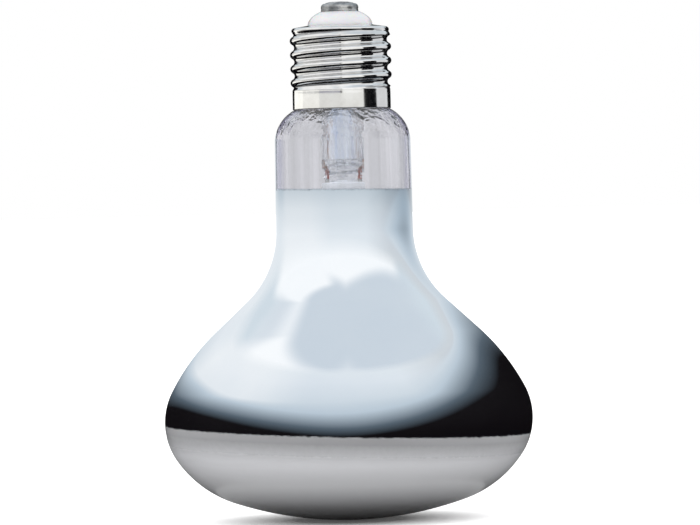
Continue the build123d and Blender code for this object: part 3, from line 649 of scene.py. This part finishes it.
def thread_surface(height, inset):
    """Radius of the cap at each height (rows) and bearing (columns), in millimetres.

    The thread is a round crest and a round root of one radius, joined on their shared tangent,
    and a full turn of bearing moves it up by one pitch. It is held under a cone at each end of
    its run, and joined to the plain skirt and the top corner by a soft maximum."""
    pitch, crest, round_radius, softness = 25.4 / 7, 13.1, 1.025, 0.02
    root = crest - 2 * (round_radius - math.sqrt(round_radius**2 - (pitch / 4) ** 2))
    along = (height - skirt_top) / pitch - turn / (2 * np.pi)
    offset = np.abs(along - np.round(along)) * pitch
    top_round, root_round = round_radius - inset, round_radius + inset
    at_crest = offset <= top_round * pitch / 4 / round_radius
    thread = np.where(
        at_crest,
        crest - round_radius + np.sqrt(np.maximum(top_round**2 - offset**2, 0)),
        root + round_radius - np.sqrt(np.maximum(root_round**2 - (pitch / 2 - offset) ** 2, 0)),
    )
    fade = np.interp(
        height, [skirt_top - 0.8, skirt_top + 1.6, thread_top - 1.6, thread_top + 0.4],
        [root, crest + 0.05, crest + 0.05, root],
    ) - inset
    plain = np.interp(
        height, [skirt_top - 0.1, skirt_top + 1.6, thread_top - 1.6, thread_top - 0.1],
        [skirt_radius, root - 0.3, root - 0.3, 12.6],
    ) - inset
    thread = np.minimum(thread, fade)
    return (thread + plain + np.sqrt((thread - plain) ** 2 + softness)) / 2 - 0.03


def cap_side(inset):
    """Points of one side of the sheet, from the skirt's edge to the mouth: rows up, columns round."""
    edge = np.array([0.0, 0.02, 0.06])
    height = np.concatenate([
        cap_foot + edge, np.linspace(cap_foot + 0.3, skirt_top - 0.6, 12),
        np.linspace(skirt_top - 0.5, thread_top - 0.02, 150),
    ])[:, None]
    radius = thread_surface(height, inset)
    radius = np.where(height < skirt_top - 0.9, skirt_radius - inset, radius)
    radius[:3] += edge[::-1, None] * (-1 if inset == 0 else 1)
    rows = np.stack([radius * np.cos(turn), radius * np.sin(turn), height + 0 * radius], axis=-1)
    corner = on_circle((11.8, thread_top), 0.8 - inset, np.linspace(0, 81, 9))
    end, mouth_radius, mouth_slope = corner[-1], 8.4, math.tan(math.radians(9))
    mouth = np.array([mouth_radius, end[1] + (end[0] - mouth_radius) * mouth_slope])
    share = np.linspace(0, 1, 10)[1:, None]
    top = np.concatenate([corner, end + (mouth - end) * share])
    return np.concatenate([rows, turned_points(top, turn)])


cap = grid_mesh("cap_shell_rolled", np.concatenate([cap_side(0.0), cap_side(sheet)[::-1]]), close_v=True)
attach(cap, "root")
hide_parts("cap_shell")

# Its finish: bright nickel plate. Fine rolling marks run round it, so their pattern is squeezed
# along the axis, and a thin haze lies over it. The thread's hollows get painted shade, by pointiness.
cap_finish, add, surface, place = material("cap_metal_finish")
round_the_cap = add("Mapping", Vector=place, Scale=(40.0, 40.0, 2600.0))
marks = noise(add, round_the_cap, 1.0, 3.0, Roughness=0.6)
haze = noise(add, place, 260.0, 5.0, Roughness=0.6)
hollow = add("NewGeometry").outputs["Pointiness"]
thread_painted_shade = ramp(add, hollow, (0.43, (0.135, 0.135, 0.14)), (0.475, (0.45, 0.455, 0.465)),
            (0.496, (1.0, 1.0, 1.0)))
rough = remap(add, haze, 0.35, 0.7, 0.07, 0.15)
plate = ramp(add, haze, (0.35, (0.745, 0.74, 0.735)), (0.65, (0.85, 0.85, 0.85)))
tint = blend(add, 1.0, plate, thread_painted_shade, "MULTIPLY")
bump = relief(add, marks, 0.12, 0.00003)
surface(add("BsdfPrincipled", Base_Color=tint, Metallic=1.0, Roughness=rough, Normal=bump))
cap.data.materials.append(cap_finish)


# Solders: soft tin-lead solder, melted over the centre contact and over the side lead's end.
# Each is a lumpy, half-shiny blob that wets the metal round it.
def lumpy_dome(centre, radius, height, lump, edge_power, axis_out, columns, rings=28):
    """Points of a dome: height * (1 - r^p)^(1/2) at each share r of the radius, with a sine-wave lump.

    The lump fades to nothing at the edge. axis_out gives the direction that the dome stands in:
    'up' along +Z, or 'back' along +Y."""
    share = np.linspace(1, 0, rings)[:, None]
    bearing = np.linspace(0, 2 * np.pi, columns, endpoint=False)[None, :]
    a, b = share * radius * np.cos(bearing), share * radius * np.sin(bearing)
    wave = np.sin(2.1 * a + 0.8 * b + 0.4) * np.cos(1.7 * b - 0.6 * a) + 0.5 * np.sin(3.9 * b + 2.7 * a)
    out = height * np.sqrt(np.maximum(1 - share**edge_power, 0)) + lump * wave * (1 - share**2)
    if axis_out == "up":
        return np.stack([centre[0] + a, centre[1] + b, centre[2] + out], axis=-1)
    return np.stack([centre[0] - a, centre[1] + out, centre[2] + b], axis=-1)


solder, add, surface, place = material("solder_finish")
pools = noise(add, place, 520.0, 4.0)
frosting = noise(add, place, 3000.0, 2.0)
tint = ramp(add, pools, (0.36, (0.20, 0.20, 0.21)), (0.52, (0.36, 0.36, 0.365)),
            (0.66, (0.60, 0.60, 0.60)))
rough = remap(add, pools, 0.35, 0.65, 0.42, 0.16)
height = calc(add, "ADD", pools, frosting)
bump = relief(add, height, 0.35, 0.00012)
surface(add("BsdfPrincipled", Base_Color=tint, Metallic=1.0, Roughness=rough, Normal=bump))
lamp_top = 1000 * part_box("contact_solder")[1][2]
solder_seat = lamp_top - 0.55
columns, plug_radius, plug_depth, pool_radius = 72, 1.5, 2.9, 3.7
dome = lumpy_dome((0, 0, solder_seat), pool_radius, 0.47, 0.05, 2.6, "up", columns)
plug = turned_points([
    (0.0, solder_seat - plug_depth), (plug_radius, solder_seat - plug_depth),
    (plug_radius, solder_seat - 0.02), (pool_radius, solder_seat),
], np.linspace(0, 2 * np.pi, columns, endpoint=False))
contact_solder = grid_mesh("contact_solder_pool", np.concatenate([plug, dome[1:]]))
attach(contact_solder, "root")
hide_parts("contact_solder")
contact_solder.data.materials.append(solder)

side_low, side_high = (1000 * np.array(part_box("side_solder")[k]) for k in (0, 1))
side_level, side_rise = (side_low[2] + side_high[2]) / 2, side_high[1] - skirt_radius + 0.03
blob = lumpy_dome((0, skirt_radius - 0.1, side_level), 1.38, side_rise, 0.06, 2.2, "back", columns)
blob[0, :, 1] = skirt_radius - 0.05
pole = np.broadcast_to(np.array([0, skirt_radius - 0.15, side_level]), (1, columns, 3))
back = np.concatenate([pole, blob])
side_solder = grid_mesh("side_solder_blob", back)
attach(side_solder, "root")
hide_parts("side_solder")
side_solder.data.materials.append(solder)

# Insulator: white opal glass, poured soft into the cap's mouth and pressed to a dome there.
# Its side is a quarter of an ellipse from the cap's mouth to the foot of the contact.
base, crown = (1000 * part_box("cap_insulator")[k][2] for k in (0, 1))
rise = np.linspace(0, 1, 30) * (crown - cap_end)
dome_radius, dome_height, hole_radius, rim_radius = 8.35, 4.345, 1.95, 9.3
dome_side = np.stack([dome_radius * np.sqrt(1 - (rise / dome_height) ** 2), cap_end + rise], axis=-1)
outline = np.concatenate([
    [(hole_radius, base), (rim_radius, base), (rim_radius, base + 2.1), (8.36, base + 2.2)],
    dome_side, [(4.4, crown), (hole_radius, crown)],
])
insulator = turned_mesh("cap_insulator_dome", outline, 128)
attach(insulator, "root")
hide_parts("cap_insulator")
insulator_finish, add, surface, place = material("cap_glass_finish")
cloud = noise(add, place, 180.0, 4.0)
tint = ramp(add, cloud, (0.3, (0.84, 0.84, 0.865)), (0.7, (0.92, 0.92, 0.935)))
bump = relief(add, cloud, 0.15, 0.0002)
surface(add("BsdfPrincipled", Base_Color=tint, Roughness=0.22, Normal=bump, Coat_Weight=0.35,
            Coat_Roughness=0.08, Subsurface_Weight=0.25, Subsurface_Scale=0.0015))
insulator.data.materials.append(insulator_finish)

# Centre contact: a brass disc pressed to a shallow cup, plated, with its eyelet through the glass.
# The side is dull and scuffed from the holder's spring, and the edge is worn bright.
contact_top, contact_foot = solder_seat, crown
disc_radius, disc_wall, corner_radius = 4.8, 0.4, 0.9
eyelet_bore, eyelet_radius, eyelet_length = 1.5, 1.9, 7.0
corner, edge_turn = (disc_radius - corner_radius, contact_top - corner_radius), np.linspace(0, 90, 10)
scuffed = disc_radius + 0.05 * np.sin(np.linspace(0, 9, 8))
cup = np.concatenate([
    np.stack([scuffed, np.linspace(contact_foot, corner[1], 8)], axis=-1),
    on_circle(corner, corner_radius, edge_turn[1:]),
    [(eyelet_bore, contact_top), (eyelet_bore, contact_top - eyelet_length)],
    [(eyelet_radius, contact_top - eyelet_length), (eyelet_radius, contact_top - disc_wall)],
    on_circle(corner, corner_radius - disc_wall, edge_turn[::-1]),
    [(disc_radius - disc_wall, contact_foot)],
])
contact = turned_mesh("centre_contact_pressed", cup, 128)
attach(contact, "root")
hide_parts("centre_contact")
contact_finish, add, surface, place = material("contact_metal_finish")
scuffs = noise(add, place, 380.0, 3.0, Roughness=0.5)
tint = ramp(add, scuffs, (0.36, (0.20, 0.205, 0.21)), (0.5, (0.30, 0.31, 0.315)),
            (0.66, (0.50, 0.505, 0.505)))
rough = remap(add, scuffs, 0.35, 0.65, 0.5, 0.26)
bump = relief(add, scuffs, 0.2, 0.0001)
surface(add("BsdfPrincipled", Base_Color=tint, Metallic=1.0, Roughness=rough, Normal=bump))
contact.data.materials.append(contact_finish)

# Floor: a sheet of white paper that runs far back. It takes soft shade where the face touches it,
# and a little glow for what the camera sees brings the rest of it up to white.
floor = grid_mesh("floor", 20000.0 * np.array([[[-1, -1, 0], [1, -1, 0]], [[-1, 1, 0], [1, 1, 0]]]),
                  close_u=False, smooth=False)
floor_finish, add, surface, place = material("floor_finish")
paper = add("BsdfDiffuse", Color=(0.93, 0.93, 0.93, 1))
from_lamp = add("VectorMath", _operation="LENGTH", i0=place)
# Painted shade round the foot: the glow is weak within 14 mm of the axis and full from 36 mm out.
glow_with_painted_shade = remap(add, from_lamp.outputs["Value"], 0.014, 0.036, 0.06, 0.6)
seen = calc(add, "MULTIPLY", glow_with_painted_shade, add("LightPath").outputs["Is Camera Ray"])
glow = add("Emission", Color=(1, 1, 1, 1), Strength=seen)
surface(add("AddShader", i0=paper, i1=glow))
floor.data.materials.append(floor_finish)

# Studio light: white all round, at a strength of 1. Polished metal mirrors a room instead: a
# blue-grey ceiling, white walls, a greyer wall behind and a large white softbox on the left.
studio = bpy.data.worlds.new("studio")
scene.world = studio
studio.use_nodes = True
sky = node_maker(studio.node_tree)
way = sky("SeparateXYZ", Vector=sky("TexCoord").outputs["Generated"])
frontward = calc(sky, "MULTIPLY", way.outputs["Y"], -1.0)
bearing_now = calc(sky, "ARCTAN2", way.outputs["X"], frontward)


def slope(value, first, last, low=0.0, high=1.0):
    """Soft step of a value from low at first to high at last: 3t^2 - 2t^3 of the share t between them."""
    step = remap(sky, value, first, last, low, high)
    step.interpolation_type = "SMOOTHSTEP"
    return step


def between(value, first, full, still_full, last):
    """Share of 1 between two values, with soft slopes outside them."""
    return calc(sky, "MULTIPLY", slope(value, first, full), slope(value, still_full, last, 1.0, 0.0))


white, wall_behind, ceiling = (1.06, 1.06, 1.06, 1), (0.71, 0.78, 0.83, 1), (0.67, 0.73, 0.79, 1)
sideways = calc(sky, "MULTIPLY_ADD", way.outputs["X"], 0.3, way.outputs["Y"])
walls = blend(sky, slope(sideways, 0.12, 0.44), white, wall_behind)
steepness = calc(sky, "MULTIPLY_ADD", calc(sky, "ABSOLUTE", way.outputs["X"]), 0.35, way.outputs["Z"])
room = blend(sky, slope(steepness, 0.83, 0.995), walls, ceiling)
box_height = between(way.outputs["Z"], 0.48, 0.62, 0.87, 0.94)
box_width = between(bearing_now, -2.35, -2.0, -0.75, -0.30)
mirrored = blend(sky, calc(sky, "MULTIPLY", box_height, box_width), room, white)
path = sky("LightPath")
not_through = calc(sky, "SUBTRACT", 1.0, path.outputs["Is Transmission Ray"])
is_gloss = calc(sky, "MULTIPLY", path.outputs["Is Glossy Ray"], not_through)
background = sky("Background", Color=blend(sky, is_gloss, (1, 1, 1, 1), mirrored), Strength=1.0)
sky("OutputWorld", Surface=background)


# Cards near the lamp, seen only in its polished surfaces: they throw no shade, and the camera
# doesn't see them. Each is an open sheet outside the lamp.
def card(name, points, tones, seen_from_above=False):
    """Reflection card: a grid of points with a colour and cover (red, green, blue, cover) at each."""
    made = grid_mesh(name, points)
    if seen_from_above and made.data.polygons[0].normal.z < 0:
        made.data.flip_normals()
    made.visible_camera = made.visible_diffuse = made.visible_shadow = made.visible_transmission = False
    tone = made.data.attributes.new("tone", "FLOAT_COLOR", "POINT")
    tone.data.foreach_set("color", np.ascontiguousarray(tones, dtype=np.float32).ravel())
    finish = bpy.data.materials.new(name + "_finish")
    finish.use_nodes = True
    add = node_maker(finish.node_tree)
    read = add("Attribute", _attribute_name="tone")
    shine = add("Emission", Color=read.outputs["Color"], Strength=1.0)
    clear = add("BsdfTransparent")
    cover = read.outputs["Alpha"]
    if seen_from_above:
        front = calc(add, "SUBTRACT", 1.0, add("NewGeometry").outputs["Backfacing"])
        cover = calc(add, "MULTIPLY", cover, front)
    add("OutputMaterial", Surface=add("MixShader", i0=cover, i1=clear, i2=shine))
    finish.cycles.emission_sampling = "NONE"
    made.data.materials.append(finish)


def round_axis(radius, bearing, height):
    """Points at a radius and height for each bearing in degrees (0 is the front, 90 is +X)."""
    turn = np.radians(bearing)
    return np.stack(np.broadcast_arrays(radius * np.sin(turn), -radius * np.cos(turn), height), axis=-1)


# Card round the bulb: black at its foot, then grey, then pale, and clear at its top. The rows of
# heights, in millimetres, are where one shade gives way to the next at each key bearing.
bearing, fence_radius = np.arange(-180, 180, 3), 60.0
key = np.array([-180, -150, -120, -90, -60, -30, 0, 30, 60, 75, 90, 105, 120, 150, 180])
blur = np.hanning(19) / np.hanning(19).sum()
level = np.stack([np.convolve(np.tile(np.interp(bearing, key, row), 3), blur, "same")[120:240] for row in (
    [0.8] * 15,
    [22, 25, 30, 35, 32, 24, 18, 25, 40, 46, 48, 56, 50, 30, 22],
    [26, 30, 37, 40, 36, 29, 23, 31, 50, 58, 63, 68, 62, 42, 26],
    [34, 42, 46, 50, 46, 38, 33, 42, 66, 73, 79, 82, 80, 60, 34],
    [42, 49, 51, 54, 50, 45, 44, 52, 74, 80, 84, 87, 86.5, 68, 42],
    [66, 66, 66, 66, 66, 66, 66, 66, 80, 83, 85, 87, 87.5, 74, 66],
    [78, 78, 78, 78, 78, 78, 78, 80, 86, 86, 88, 90, 90.5, 82, 78],
    [92, 92, 92, 92, 92, 92, 92, 93, 96, 97, 98, 100, 100.5, 95, 92],
)])
shade = np.array([
    (0.004, 0.003, 0.004, 1), (0.006, 0.005, 0.006, 1), (0.10, 0.13, 0.16, 1), (0.56, 0.64, 0.71, 1),
    (0.70, 0.76, 0.81, 1), (0.82, 0.86, 0.90, 1), (0.84, 0.88, 0.91, 1), (0.84, 0.88, 0.91, 0),
])
tones = np.repeat(shade[:, None], len(bearing), axis=1)
window = np.interp(bearing, [-122, -98, -50, -20], [0.0, 1.0, 1.0, 0.0])
tones[4:, :, :3] += (1.0 - tones[4:, :, :3]) * 0.6 * window[None, :, None]
tones[5:, :, :3] *= 1 - 0.18 * np.interp(bearing, [30, 70, 140, 170], [0.0, 1.0, 1.0, 0.0])[None, :, None]
card("card_round_bulb", round_axis(fence_radius, bearing, level), tones)

# Card at the bulb's foot: a level black ring on the floor, for the mirror's lowest part.
foot_ring = round_axis(np.array([[40.0], [fence_radius]]), bearing, 0.8)
card("card_at_foot", foot_ring, np.full((2, len(bearing), 4), (0.006, 0.005, 0.006, 1.0)))

# Bowl card under the cap: a black floor and a wide cone with upright strips, seen from above alone.
# The cone climbs at 30 degrees, so level rays from the cap meet it, and steeper ones from the bulb
# pass through its back. Its lower rows serve the skirt, and the rows above them the thread.
bearing = np.arange(-180, 180)
bowl_level, bowl_foot, strip_distance, cone = cap_foot - 2.8, 62.0, 80.0, math.tan(math.radians(30))
mirrored_at = np.array([-146.0, -104.0, -54.0, -3.0, 2.0, 54.0, 90.0, 136.0])
half = np.radians(mirrored_at / 2)
start = mirrored_at - np.degrees(np.arcsin(skirt_radius / strip_distance * np.sin(half)))
strip = np.searchsorted(start, bearing, side="right")
black, right_grey = (0.002, 0.002, 0.003, 1), (0.80, 0.81, 0.83, 1)
at_skirt = np.array([
    black, (1.30, 1.29, 1.22, 1), (1.08, 1.07, 1.02, 1), (0.90, 0.90, 0.87, 1), (0.90, 0.90, 0.87, 1),
    (0.92, 0.92, 0.89, 1), black, right_grey, black,
])[strip]
at_thread = np.array([
    black, (0.80, 0.80, 0.79, 1), (0.60, 0.60, 0.59, 1), (0.40, 0.40, 0.46, 1), black,
    (1.10, 1.10, 1.08, 1), black, right_grey, black,
])[strip]
skirt_reach = bowl_foot + (skirt_top + 2.6 - bowl_level) / cone
reach = np.array([20.0, 45.0, bowl_foot, bowl_foot + 0.2, skirt_reach, skirt_reach + 0.4, 230.0])[:, None]
bowl = round_axis(reach, bearing, bowl_level + np.maximum(reach - bowl_foot, 0) * cone)
dark = np.full((len(bearing), 4), black)
colour = np.stack([dark, dark, dark + 0.06 * (1 - dark), at_skirt, at_skirt, at_thread, at_thread])
card("card_under_cap", bowl, colour, seen_from_above=True)

# Camera: a long lens a little above the lamp's middle, rolled a little, as in the photo.
# Its place is set from the size of the bulb in the picture and the height of the level line.
look = bpy.data.cameras.new("camera")
camera = bpy.data.objects.new("camera", look)
scene.collection.objects.link(camera)
scene.camera = camera
look.sensor_width = 36.0
look.lens = 251.0
look.clip_start, look.clip_end = 0.01, 100
picture_middle, lamp_roll = (0.0012, 0.0, 0.0663), -1.3
camera.location = (0.0012, -1.26, 0.084)
aim = Vector(picture_middle) - camera.location
camera.rotation_euler = aim.to_track_quat("-Z", "Y").to_euler()
camera.rotation_euler.rotate_axis("Z", math.radians(lamp_roll))

scene.view_settings.view_transform = "Standard"
scene.cycles.use_denoising = True
scene.cycles.max_bounces = 20
scene.cycles.transmission_bounces = 16
scene.cycles.glossy_bounces = 8
scene.cycles.transparent_max_bounces = 16
scene.cycles.caustics_reflective = True
scene.cycles.caustics_refractive = True
